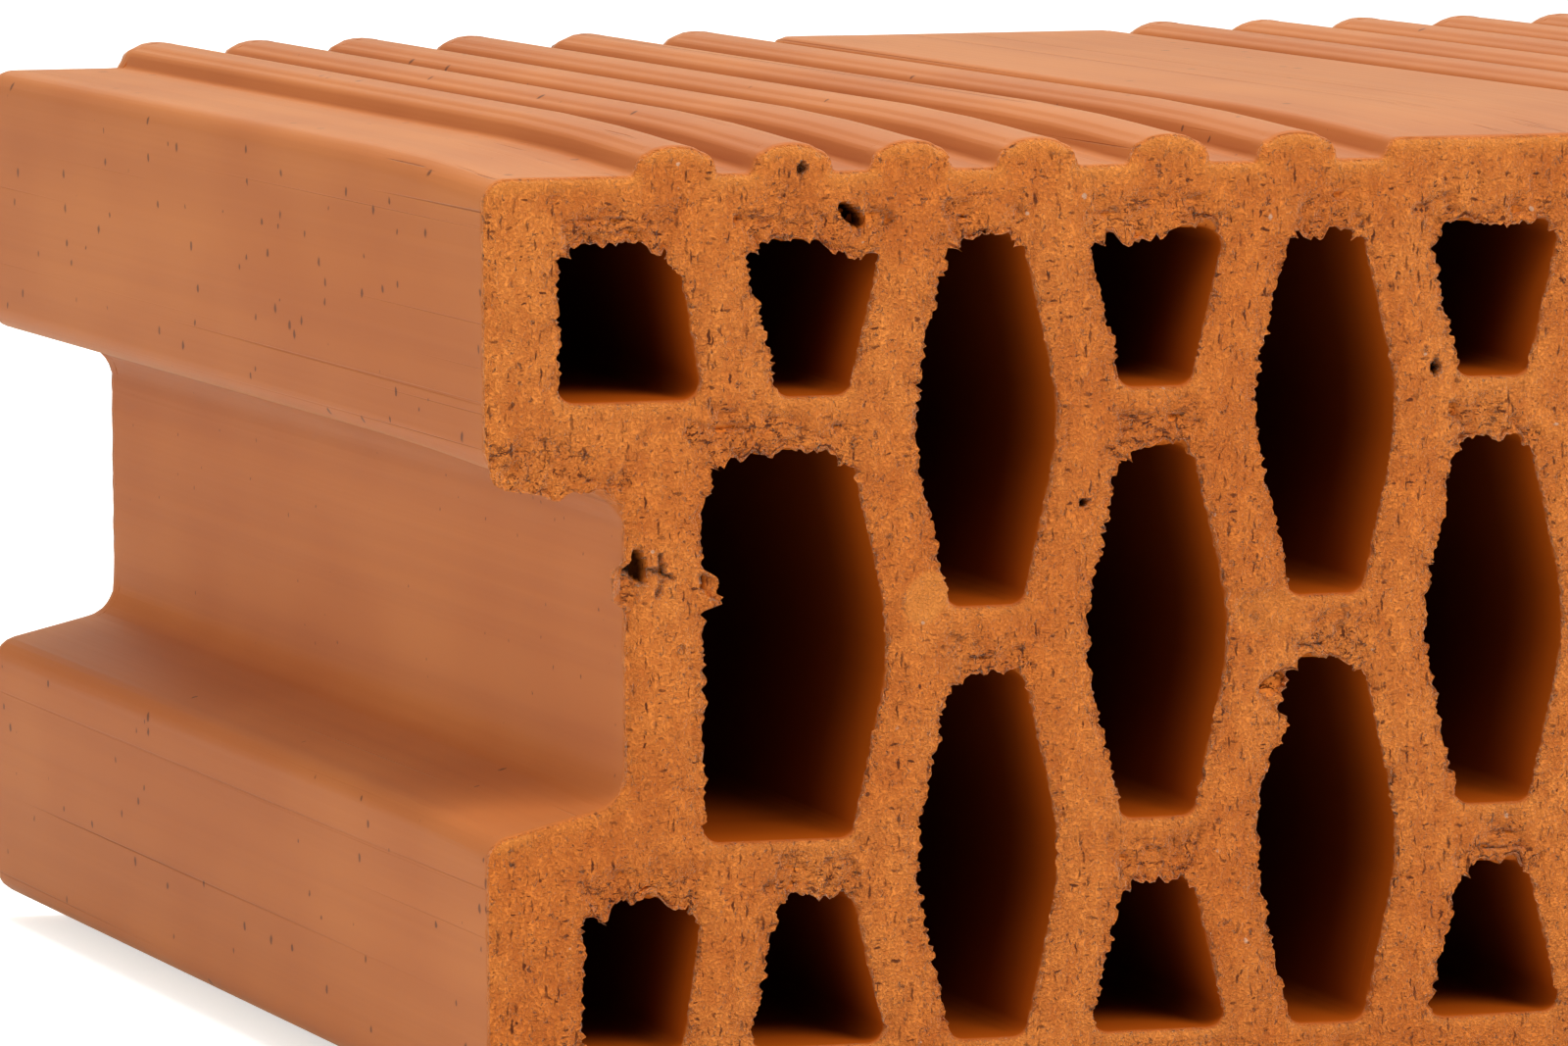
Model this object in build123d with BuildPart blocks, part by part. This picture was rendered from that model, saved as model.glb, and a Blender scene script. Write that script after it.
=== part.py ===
from build123d import *
import os

# Perforated clay partition block, lying on a ribbed side as it was cut from the column.
# X runs along the wall, Y along the extrusion, Z through the wall's thickness.

# Overall size
face_length = 498.0
wall_thickness = 115.0
block_height = 238.0

# Plaster key on both wide faces: groups of ribs with a plain band between them
key_depth = 3.3
rib_foot = 9.9
rib_crest = 7.6
rib_shoulder_radius = 2.4
key_root_radius = 0.8
end_rib_offsets = (22.6, 36.4, 50.5, 65.5, 81.3, 96.8)
middle_rib_count = 13
middle_rib_pitch = 14.4
band_start = 107.2
band_gap = 1.35
band_height = 2.3
band_flank = 1.2
band_shoulder_radius = 1.4

# Outer corners of the two ends
corner_radius = 3.0

# Groove in one end
groove_depth = 16.2
groove_floor_half = 17.1
groove_mouth_half = 21.0
groove_floor_radius = 4.5
groove_lip_radius = 3.2

# Tongue on the other end, which sits in the next block's groove with this play
joint_play = 1.0
tongue_tip_radius = 3.5
tongue_root_radius = 2.0

# Cells in staggered columns: pairs of full cells, then a full cell between two half cells
pair_column_count = 11
first_pair_offset = 59.2
last_pair_offset = 28.8
cell_height = 42.4
cell_end_half = 4.4
cell_waist_half = 9.3
cell_waist_radius = 30.0
cell_corner_radius = 2.0
centre_web = 7.5
row_web = 7.0
half_cell_height = 17.9
half_cell_outer_half = 8.5
half_cell_inner_half = 4.2

# Cell behind the groove and cells in the groove's lips
groove_wall = 9.2
groove_cell_height = 44.2
upper_lip_wall = 8.7
lower_lip_wall = 11.0
lip_cell_inner_end = 25.6
lip_cell_outer_end = 22.8

# Cells beside and in the tongue
end_cell_start = 14.2
end_cell_wall = 7.7
tongue_cell_start = 12.6
tongue_cell_bulge = 4.0
tongue_cell_left_half = 8.0
tongue_cell_half = 17.0
tongue_cell_tip_half = 8.5
tongue_wall = 8.6

# Places worked out from the sizes above
tongue_length = groove_depth - joint_play
left_end = -(face_length + tongue_length) / 2
right_end = left_end + face_length
face_centre = (left_end + right_end) / 2
mid_level = wall_thickness / 2
body_half = mid_level - key_depth
groove_floor_x = left_end + groove_depth
tongue_tip_x = right_end + tongue_length
groove_draft = (groove_mouth_half - groove_floor_half) / groove_depth
tongue_root_half = groove_mouth_half - joint_play
tongue_tip_half = tongue_root_half - tongue_length * groove_draft

middle_group_width = (middle_rib_count - 1) * middle_rib_pitch + rib_foot
band_end = (face_length - middle_group_width) / 2 - band_gap

first_pair_x = left_end + first_pair_offset
last_pair_x = right_end - last_pair_offset
column_pitch = (last_pair_x - first_pair_x) / (2 * (pair_column_count - 1))
pair_columns = [first_pair_x + 2 * column_pitch * n for n in range(pair_column_count)]
triple_columns = [x + column_pitch for x in pair_columns[:-1]]
groove_column = first_pair_x - column_pitch
pair_level = (centre_web + cell_height) / 2
row_level = (cell_height + half_cell_height) / 2 + row_web
row_inner = row_level - half_cell_height / 2
row_outer = row_level + half_cell_height / 2


def raised_strips():
    """Each strip of the plaster key: its centre, foot width, crest width, height and shoulder radius."""
    strips = []
    for offset in end_rib_offsets:
        for place in (left_end + offset, right_end - offset):
            strips.append((place, rib_foot, rib_crest, key_depth, rib_shoulder_radius))
    for n in range(middle_rib_count):
        place = face_centre + middle_rib_pitch * (n - (middle_rib_count - 1) / 2)
        strips.append((place, rib_foot, rib_crest, key_depth, rib_shoulder_radius))
    band_foot = band_end - band_start
    band_crest = band_foot - 2 * band_flank
    for place in (left_end + band_start + band_foot / 2, right_end - band_start - band_foot / 2):
        strips.append((place, band_foot, band_crest, band_height, band_shoulder_radius))
    return sorted(strips)


def ribbed_edge():
    """The corners of one ribbed side from left to right, each with its radius."""
    corners = []
    for place, foot, crest, height, shoulder_radius in raised_strips():
        corners.append(((place - foot / 2, body_half), key_root_radius))
        corners.append(((place - crest / 2, body_half + height), shoulder_radius))
        corners.append(((place + crest / 2, body_half + height), shoulder_radius))
        corners.append(((place + foot / 2, body_half), key_root_radius))
    return corners


# Outline of the section above its middle, from the groove's floor round to the tongue's tip
upper_corners = [
    ((groove_floor_x, groove_floor_half), groove_floor_radius),
    ((left_end, groove_mouth_half), groove_lip_radius),
    ((left_end, body_half), corner_radius),
    *ribbed_edge(),
    ((right_end, body_half), corner_radius),
    ((right_end, tongue_root_half), tongue_root_radius),
    ((tongue_tip_x, tongue_tip_half), tongue_tip_radius),
]

with BuildSketch() as outline:
    with BuildLine() as upper_half:
        FilletPolyline(
            (groove_floor_x, 0),
            *[place for place, radius in upper_corners],
            (tongue_tip_x, 0),
            radius=[radius for place, radius in upper_corners],
        )
        mirror(about=Plane.XZ)
    make_face()

# A full cell: six sides, bulging at its waist
with BuildSketch() as cell:
    with BuildLine():
        Polyline(
            (-cell_end_half, -cell_height / 2),
            (cell_end_half, -cell_height / 2),
            (cell_waist_half, 0),
            (cell_end_half, cell_height / 2),
            (-cell_end_half, cell_height / 2),
            (-cell_waist_half, 0),
            close=True,
        )
    make_face()
    fillet(cell.vertices().filter_by(lambda v: abs(v.Y) < 0.01), radius=cell_waist_radius)
    fillet(cell.vertices().filter_by(lambda v: abs(v.Y) > cell_height / 2 - 0.01), radius=cell_corner_radius)

# A half cell, its wide side towards the outer shell
with BuildSketch() as half_cell:
    with BuildLine():
        Polyline(
            (-half_cell_inner_half, row_inner),
            (half_cell_inner_half, row_inner),
            (half_cell_outer_half, row_outer),
            (-half_cell_outer_half, row_outer),
            close=True,
        )
    make_face()
    fillet(half_cell.vertices(), radius=cell_corner_radius)

# The cell behind the groove: its left side runs along the groove's floor
with BuildSketch() as groove_cell:
    groove_cell_left = groove_floor_x + groove_wall
    groove_cell_half = groove_cell_height / 2
    with BuildLine():
        Polyline(
            (groove_cell_left, -groove_cell_half),
            (groove_column + cell_end_half, -groove_cell_half),
            (groove_column + cell_waist_half, 0),
            (groove_column + cell_end_half, groove_cell_half),
            (groove_cell_left, groove_cell_half),
            close=True,
        )
    make_face()
    fillet(groove_cell.vertices().group_by(Axis.X)[-1], radius=cell_waist_radius)
    fillet(
        groove_cell.vertices().filter_by(lambda v: abs(v.Y) > groove_cell_half - 0.01),
        radius=cell_corner_radius,
    )

# The cell in the groove's upper lip, and the deeper set one in its lower lip
with BuildSketch() as upper_lip_cell:
    with BuildLine():
        Polyline(
            (left_end + upper_lip_wall, row_inner),
            (left_end + lip_cell_inner_end, row_inner),
            (left_end + lip_cell_outer_end, row_outer),
            (left_end + upper_lip_wall, row_outer),
            close=True,
        )
    make_face()
    fillet(upper_lip_cell.vertices(), radius=cell_corner_radius)

with BuildSketch() as lower_lip_cell:
    with BuildLine():
        Polyline(
            (left_end + lower_lip_wall, -row_inner),
            (left_end + lip_cell_inner_end, -row_inner),
            (left_end + lip_cell_outer_end, -row_outer),
            (left_end + lower_lip_wall, -row_outer),
            close=True,
        )
    make_face()
    fillet(lower_lip_cell.vertices(), radius=cell_corner_radius)

# The two narrow cells beside the tongue
with BuildSketch() as end_cells:
    end_cell_left = last_pair_x + end_cell_start
    end_cell_right = right_end - end_cell_wall
    with Locations(*[((end_cell_left + end_cell_right) / 2, side * row_level) for side in (-1, 1)]):
        Rectangle(end_cell_right - end_cell_left, half_cell_height)
    fillet(end_cells.vertices(), radius=cell_corner_radius)

# The cell that reaches into the tongue
with BuildSketch() as tongue_cell:
    tongue_cell_left = last_pair_x + tongue_cell_start
    with BuildLine():
        Polyline(
            (tongue_cell_left, -tongue_cell_left_half),
            (tongue_cell_left + tongue_cell_bulge, -tongue_cell_half),
            (right_end - tongue_wall, -tongue_cell_half),
            (tongue_tip_x - tongue_wall, -tongue_cell_tip_half),
            (tongue_tip_x - tongue_wall, tongue_cell_tip_half),
            (right_end - tongue_wall, tongue_cell_half),
            (tongue_cell_left + tongue_cell_bulge, tongue_cell_half),
            (tongue_cell_left, tongue_cell_left_half),
            close=True,
        )
    make_face()
    fillet(tongue_cell.vertices(), radius=cell_corner_radius)

# All the cells of the section
with BuildSketch() as cells:
    with Locations(*[(x, side * pair_level) for x in pair_columns for side in (-1, 1)]):
        add(cell.sketch, clean=False)
    with Locations(*[(x, 0) for x in triple_columns]):
        add(cell.sketch, clean=False)
    half_columns = [groove_column] + triple_columns
    with Locations(*[Location((x, 0, 0), (0, 0, turn)) for x in half_columns for turn in (0, 180)]):
        add(half_cell.sketch, clean=False)
    for single_cell in (groove_cell, upper_lip_cell, lower_lip_cell, end_cells, tongue_cell):
        add(single_cell.sketch, clean=False)

# The block: the outline extruded from its far cut to its near one, with the cells cut through
far_cut = Plane.XZ.offset(-block_height / 2)
with BuildPart() as clay_block:
    with BuildSketch(far_cut) as solid_section:
        with Locations((0, mid_level)):
            add(outline.sketch)
    extrude(amount=block_height)
    with BuildSketch(far_cut) as open_section:
        with Locations((0, mid_level)):
            add(cells.sketch)
    extrude(amount=block_height, mode=Mode.SUBTRACT)

clay_block.part.label = "clay_block"
os.makedirs("parts", exist_ok=True)
export_step(clay_block.part, "parts/clay_block.step")
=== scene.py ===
"""The looks of a hollow clay block that was extruded through a die and cut off by wire.

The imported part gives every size. The two cut ends are remade in fine meshes, which
carry what a cutting wire does to stiff clay: ceilings of the cells torn ragged, sides
toothed, bottoms rolled in, and a crumbled strip over every cell. The rest of the block
is the extruded body, with the skin that the die gave it.
"""

import logging
import math
from dataclasses import dataclass, field
from enum import Enum

import bpy
import numpy as np
from mathutils import Matrix, Vector, noise
from mathutils.bvhtree import BVHTree

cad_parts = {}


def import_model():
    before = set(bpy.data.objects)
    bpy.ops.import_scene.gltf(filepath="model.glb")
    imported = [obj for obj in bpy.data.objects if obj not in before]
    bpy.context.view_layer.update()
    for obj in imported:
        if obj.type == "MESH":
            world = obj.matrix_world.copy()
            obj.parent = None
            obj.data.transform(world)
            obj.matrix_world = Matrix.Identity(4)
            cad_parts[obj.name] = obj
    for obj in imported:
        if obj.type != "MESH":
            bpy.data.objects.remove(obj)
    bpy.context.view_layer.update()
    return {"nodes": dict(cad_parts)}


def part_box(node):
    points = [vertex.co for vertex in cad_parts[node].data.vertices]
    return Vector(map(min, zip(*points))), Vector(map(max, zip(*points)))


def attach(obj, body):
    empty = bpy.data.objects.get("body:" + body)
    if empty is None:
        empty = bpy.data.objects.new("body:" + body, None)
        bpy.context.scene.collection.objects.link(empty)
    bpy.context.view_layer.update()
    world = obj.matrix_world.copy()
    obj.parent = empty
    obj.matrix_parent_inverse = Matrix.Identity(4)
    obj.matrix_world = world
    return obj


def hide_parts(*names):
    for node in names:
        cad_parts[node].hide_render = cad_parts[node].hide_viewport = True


MM = 0.001
PER_METRE = 1000.0
CAD_NODE = "clay_block"
LEFT_END_MM = -256.6
"""Where the grooved end stands in the row frame."""
NEARLY_MM = 0.01
"""Levels and planes nearer to each other than this count as one."""
FINE_VOXEL_MM = 0.38
SEAMS_MM = (-197.4, -156.4, -115.4)
"""Where the stretches of the front cut meet, each between two columns of cells."""

log = logging.getLogger("clay_block")

Piece = bpy.types.Object
Tree = bpy.types.NodeTree
Socket = bpy.types.NodeSocket


class CutEnd(Enum):
    """The two wire-cut ends: the value is the sign of the way into the block along Y."""

    FRONT = 1
    BACK = -1


def smooth_step(low: float, high: float, value: np.ndarray) -> np.ndarray:
    """A smooth rise from 0 at low to 1 at high.

    Args:
        low: where the rise starts.
        high: where it ends; below low for a fall.
        value: the numbers to map.

    Returns:
        The mapped numbers, from 0 to 1.
    """
    share = np.clip((value - low) / (high - low), 0.0, 1.0)
    return share * share * (3.0 - 2.0 * share)


def linear_colour(code: str) -> tuple[float, float, float, float]:
    """Turns an sRGB hex colour to the linear values that shaders use.

    Args:
        code: six hex digits, with or without a hash.

    Returns:
        Linear red, green, blue and an alpha of 1.
    """
    digits = code.lstrip("#")
    parts = [int(digits[i:i + 2], 16) / 255 for i in (0, 2, 4)]
    red, green, blue = (
        c / 12.92 if c <= 0.04045 else ((c + 0.055) / 1.055) ** 2.4 for c in parts
    )
    return red, green, blue, 1.0


@dataclass(frozen=True)
class Block:
    """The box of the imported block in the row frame, in millimetres."""

    low: np.ndarray
    high: np.ndarray

    @classmethod
    def packed(cls) -> "Block":
        """The box of the CAD node."""
        return cls(*(np.array(corner) * PER_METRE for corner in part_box(CAD_NODE)))


def deselect_all() -> None:
    """Leaves object mode with nothing selected."""
    if bpy.context.object and bpy.context.object.mode != "OBJECT":
        bpy.ops.object.mode_set(mode="OBJECT")
    bpy.ops.object.select_all(action="DESELECT")


def make_active(piece: Piece) -> None:
    """Selects one object alone and makes it the active one."""
    deselect_all()
    piece.select_set(True)
    bpy.context.view_layer.objects.active = piece


def merged_copy(source: Piece, name: str) -> Piece:
    """Copies a CAD node's mesh into a piece of its own and merges its loose triangles.

    Args:
        source: the CAD node.
        name: the new piece's name.

    Returns:
        The new piece, the active object.
    """
    mesh = source.data.copy()
    mesh.name = name
    mesh.materials.clear()
    piece = bpy.data.objects.new(name, mesh)
    bpy.context.scene.collection.objects.link(piece)
    make_active(piece)
    bpy.ops.mesh.customdata_custom_splitnormals_clear()
    bpy.ops.object.mode_set(mode="EDIT")
    bpy.ops.mesh.select_all(action="SELECT")
    bpy.ops.mesh.remove_doubles(threshold=0.002 * MM)
    bpy.ops.object.mode_set(mode="OBJECT")
    return piece


def cut_at(piece: Piece, place: Vector, outward: Vector, clear: bool = True) -> None:
    """Cuts a piece by a plane.

    Args:
        piece: the object to cut.
        place: a point of the plane, in metres.
        outward: the plane's normal; what lies on its side goes.
        clear: whether to take the outer side off and close the cut, or only to add edges.
    """
    make_active(piece)
    bpy.ops.object.mode_set(mode="EDIT")
    bpy.ops.mesh.select_mode(type="VERT")
    bpy.ops.mesh.select_all(action="SELECT")
    bpy.ops.mesh.bisect(
        plane_co=place,
        plane_no=outward,
        use_fill=clear,
        clear_outer=clear,
        threshold=0.001 * MM,
    )
    bpy.ops.object.mode_set(mode="OBJECT")


def points_mm(piece: Piece) -> np.ndarray:
    """The piece's vertices as an array in millimetres."""
    flat = np.zeros(len(piece.data.vertices) * 3, np.float32)
    piece.data.vertices.foreach_get("co", flat)
    return flat.reshape(-1, 3).astype(float) * PER_METRE


def set_points_mm(piece: Piece, points: np.ndarray) -> None:
    """Writes an array in millimetres back to the piece's vertices."""
    piece.data.vertices.foreach_set("co", (points * MM).astype(np.float32).ravel())
    piece.data.update()


def set_attribute(piece: Piece, name: str, values: np.ndarray) -> None:
    """Stores one number a vertex under a name that the material reads."""
    layer = piece.data.attributes.new(name, "FLOAT", "POINT")
    layer.data.foreach_set("value", values.astype(np.float32))


def shade(piece: Piece, angle_deg: float) -> None:
    """Shades a piece smooth, with edges sharper than the angle kept crisp."""
    make_active(piece)
    bpy.ops.object.shade_smooth_by_angle(angle=math.radians(angle_deg))


@dataclass(frozen=True)
class Droop:
    """How the soft clay sagged towards the cut before it was fired."""

    sag_mm: float = 0.8
    rib_sag_mm: float = 0.6
    reach_mm: float = 28.0
    fixed_below_mm: float = 4.0
    full_above_mm: float = 18.0
    ribs_from_mm: float = 100.0
    ribs_full_mm: float = 112.0
    falloff: float = 1.5

    def fall(self, height: np.ndarray, depth: np.ndarray) -> np.ndarray:
        """The drop of points at these heights and depths from the cut.

        Args:
            height: heights over the floor, in millimetres.
            depth: depths behind the cut, in millimetres.

        Returns:
            The drop, in millimetres.
        """
        share = np.exp(-((np.maximum(depth, 0.0) / self.reach_mm) ** self.falloff))
        held = smooth_step(self.fixed_below_mm, self.full_above_mm, height)
        ribs = smooth_step(self.ribs_from_mm, self.ribs_full_mm, height)
        return (self.sag_mm * held + self.rib_sag_mm * ribs) * share

    def apply(self, points: np.ndarray, cut_y: float) -> None:
        """Lowers points near the front cut, which left the die last, in place."""
        points[:, 2] -= self.fall(points[:, 2].copy(), points[:, 1] - cut_y)


@dataclass(frozen=True)
class ClayFinishes:
    """The clay's material in the open, and its duller twin for the cells' walls."""

    open_air: bpy.types.Material
    in_cells: bpy.types.Material

    @classmethod
    def of(cls, name: str, with_cut_face: bool) -> "ClayFinishes":
        """Makes both materials.

        Args:
            name: the name of the one in the open.
            with_cut_face: whether the piece shows any of the face that the wire tore.

        Returns:
            The materials.
        """
        return cls(
            FiredClay(name, with_cut_face=with_cut_face).material(),
            FiredClay(
                name + "_in_cells", gloss=0.0, sheen=0.0, grained=False,
                with_cut_face=with_cut_face,
            ).material(),
        )


@dataclass(frozen=True)
class Ribs:
    """The plaster ribs, which the die left rounder than their plain section."""

    centres_mm: tuple[float, ...]
    drop_mm: float = 0.55
    full_at_mm: float = 3.0
    foot_mm: float = 4.9
    height_mm: float = 3.3
    steepness: float = 1.6
    crest_gap_mm: float = 7.0

    @classmethod
    def of(cls, cad: Piece) -> "Ribs":
        """Finds the ribs of a CAD node by the runs of its highest points."""
        places = [vertex.co * PER_METRE for vertex in cad.data.vertices]
        top = max(place.z for place in places)
        crest = sorted({round(p.x, 2) for p in places if p.z > top - NEARLY_MM})
        runs = [[crest[0]]]
        for place in crest[1:]:
            if place - runs[-1][-1] > cls.crest_gap_mm:
                runs.append([])
            runs[-1].append(place)
        return cls(tuple((run[0] + run[-1]) / 2 for run in runs))

    def round_off(self, points: np.ndarray, block: Block) -> None:
        """Lowers the shoulders of the ribs, in place."""
        centres = np.array(self.centres_mm)
        near = np.abs(points[:, :1] - centres[None, :]).min(axis=1)
        share = np.minimum(near / self.full_at_mm, 1.0) ** 2
        share *= smooth_step(self.foot_mm, self.full_at_mm, near)
        for level, sign in ((block.high[2], -1.0), (block.low[2], 1.0)):
            over = 1.0 - np.abs(points[:, 2] - level) / self.height_mm
            crest = np.clip(over * self.steepness, 0.0, 1.0)
            points[:, 2] += sign * self.drop_mm * share * crest


@dataclass(frozen=True)
class DeepShade:
    """Where the walls are inside cells, and the painted shade on them: their colour turns
    darker and browner the further they lie behind the cuts.
    """

    starts_mm: float = -7.0
    full_mm: float = 20.0
    rim_mm: float = 1.0
    shell_mm: float = 7.0
    groove_mm: float = 17.5
    groove_half_mm: float = 24.0
    tongue_half_mm: float = 12.0

    def depth(self, points: np.ndarray, block: Block) -> np.ndarray:
        """How far behind the nearer cut each point is, in millimetres."""
        return np.minimum(points[:, 1] - block.low[1], block.high[1] - points[:, 1])

    def share(self, points: np.ndarray, block: Block) -> np.ndarray:
        """How far down a cell each point is, the share of painted shade: 0 outside the
        cells, 1 deep inside.
        """
        deep = smooth_step(self.starts_mm, self.full_mm, self.depth(points, block))
        return np.where(self.in_cells(points, block), deep, 0.0)

    def in_cells(self, points: np.ndarray, block: Block) -> np.ndarray:
        """Which points are on the walls of cells or between them."""
        low, high, shell = block.low, block.high, self.shell_mm
        aside = np.abs(points[:, 2] - (low[2] + high[2]) / 2)
        x = points[:, 0]
        in_groove = (x < low[0] + self.groove_mm) & (aside < self.groove_half_mm)
        outside = (
            (points[:, 2] > high[2] - shell) | (points[:, 2] < low[2] + shell)
            | (x < low[0] + shell) | (x > high[0] - shell)
        )
        by_tongue = (x > high[0] - self.groove_mm) & (aside > self.tongue_half_mm)
        return ~(in_groove | outside | by_tongue)

    def finish(self, piece: Piece, block: Block, clay: ClayFinishes) -> None:
        """Puts the clay on a piece, with the dull finish on the walls of cells."""
        faces = piece.data.polygons
        flat = np.zeros(len(faces) * 3, np.float32)
        faces.foreach_get("center", flat)
        centres = flat.reshape(-1, 3).astype(float) * PER_METRE
        deep = self.depth(centres, block) > self.rim_mm
        walls = self.in_cells(centres, block) & deep
        piece.data.materials.append(clay.open_air)
        piece.data.materials.append(clay.in_cells)
        faces.foreach_set("material_index", walls.astype(np.int32))


@dataclass(frozen=True)
class Stock:
    """What each stretch of the block is made from, and what is true of all of them."""

    cad: Piece
    block: Block
    ribs: Ribs
    droop: Droop


def add_node(
    tree: Tree,
    kind: str,
    settings: dict[str, object] | None = None,
    inputs: dict[str | int, object] | None = None,
) -> bpy.types.Node:
    """Adds a shader node with its settings, values and links.

    Args:
        tree: the node tree.
        kind: the node's type name, without its ShaderNode prefix.
        settings: attributes of the node.
        inputs: for each input a value, or the output socket to link to it.

    Returns:
        The node.
    """
    node = tree.nodes.new("ShaderNode" + kind)
    for name, value in (settings or {}).items():
        setattr(node, name, value)
    for key, value in (inputs or {}).items():
        if isinstance(value, Socket):
            tree.links.new(value, node.inputs[key])
        else:
            node.inputs[key].default_value = value
    return node


def squeeze(tree: Tree, mm: Socket, stretch: tuple[float, float, float]) -> Socket:
    """The place, scaled so that a pattern read there is drawn out by the stretch."""
    return add_node(
        tree, "VectorMath", {"operation": "MULTIPLY"},
        {0: mm, 1: tuple(1.0 / times for times in stretch)},
    ).outputs[0]


@dataclass(frozen=True)
class Grain:
    """A noise of a given grain size, cut to the range from low to high.

    Detail is the octaves of finer grain in it, tint how much it colours the clay, and
    sunk_mm how deep it lies.
    """

    size_mm: float
    low: float
    high: float
    detail: float = 3.0
    stretch: tuple[float, float, float] = (1.0, 1.0, 1.0)
    tint: float = 1.0
    sunk_mm: float = 0.0
    roughness: float = 0.6

    def at(self, tree: Tree, mm: Socket) -> Socket:
        """Reads the pattern at a place in millimetres, from 0 to 1."""
        made = add_node(
            tree, "TexNoise", {},
            {"Vector": squeeze(tree, mm, self.stretch), "Scale": 1.0 / self.size_mm,
             "Detail": self.detail, "Roughness": self.roughness},
        ).outputs["Fac"]
        return add_node(
            tree, "MapRange", {"interpolation_type": "SMOOTHSTEP"},
            {"Value": made, "From Min": self.low, "From Max": self.high},
        ).outputs[0]


@dataclass(frozen=True)
class Specks:
    """Round or drawn-out specks, a mean spacing apart, few of them of the largest radius.

    Sharpness says how quickly their sizes fall off, and solid which share of a speck's
    radius is in full colour.
    """

    spacing_mm: float
    largest_mm: float
    sharpness: float
    stretch: tuple[float, float, float] = (1.0, 1.0, 1.0)
    tint: float = 1.0
    solid: float = 0.6

    def at(self, tree: Tree, mm: Socket) -> Socket:
        """Reads the pattern at a place in millimetres: 1 in a speck, 0 round it."""
        cells = add_node(
            tree, "TexVoronoi", {},
            {"Vector": squeeze(tree, mm, self.stretch), "Scale": 1.0 / self.spacing_mm},
        )
        draw = add_node(
            tree, "SeparateColor", {}, {"Color": cells.outputs["Color"]}
        ).outputs[0]
        size = joined(tree, draw, self.sharpness, "POWER")
        radius = joined(tree, size, self.largest_mm / self.spacing_mm)
        inner = joined(tree, radius, self.solid)
        return add_node(
            tree, "MapRange", {"interpolation_type": "SMOOTHSTEP"},
            {"Value": cells.outputs["Distance"], "From Min": radius, "From Max": inner},
        ).outputs[0]


@dataclass(frozen=True)
class Shake:
    """A small wandering of the place, so that no crack in a pattern runs straight."""

    reach_mm: float
    size_mm: float
    detail: float = 3.0

    def of(self, tree: Tree, mm: Socket) -> Socket:
        """The shaken place."""
        shake = add_node(
            tree, "TexNoise", {},
            {"Vector": mm, "Scale": 1.0 / self.size_mm, "Detail": self.detail},
        ).outputs["Color"]
        centred = add_node(
            tree, "VectorMath", {"operation": "SUBTRACT"}, {0: shake, 1: (0.5, 0.5, 0.5)}
        ).outputs[0]
        return add_node(
            tree, "VectorMath", {"operation": "MULTIPLY_ADD"},
            {0: centred, 1: (self.reach_mm, self.reach_mm, self.reach_mm), 2: mm},
        ).outputs[0]


def joined(
    tree: Tree, first: Socket | float, second: Socket | float, operation: str = "MULTIPLY"
) -> Socket:
    """Joins two numbers by a Math node's operation, as a rule their product."""
    return add_node(
        tree, "Math", {"operation": operation}, {0: first, 1: second}
    ).outputs[0]


def blended(
    tree: Tree, share: Socket, first: Socket | str, second: Socket | str
) -> Socket:
    """Mixes two colours, each a socket or six hex digits, by the second's share."""
    node = add_node(tree, "Mix", {"data_type": "RGBA"}, {"Factor": share})
    for socket, value in zip(node.inputs[6:8], (first, second)):
        if isinstance(value, str):
            socket.default_value = linear_colour(value)
        else:
            tree.links.new(value, socket)
    return node.outputs[2]


def reading(tree: Tree, name: str) -> Socket:
    """The vertex attribute of that name."""
    return add_node(tree, "Attribute", {"attribute_name": name}).outputs["Fac"]


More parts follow.
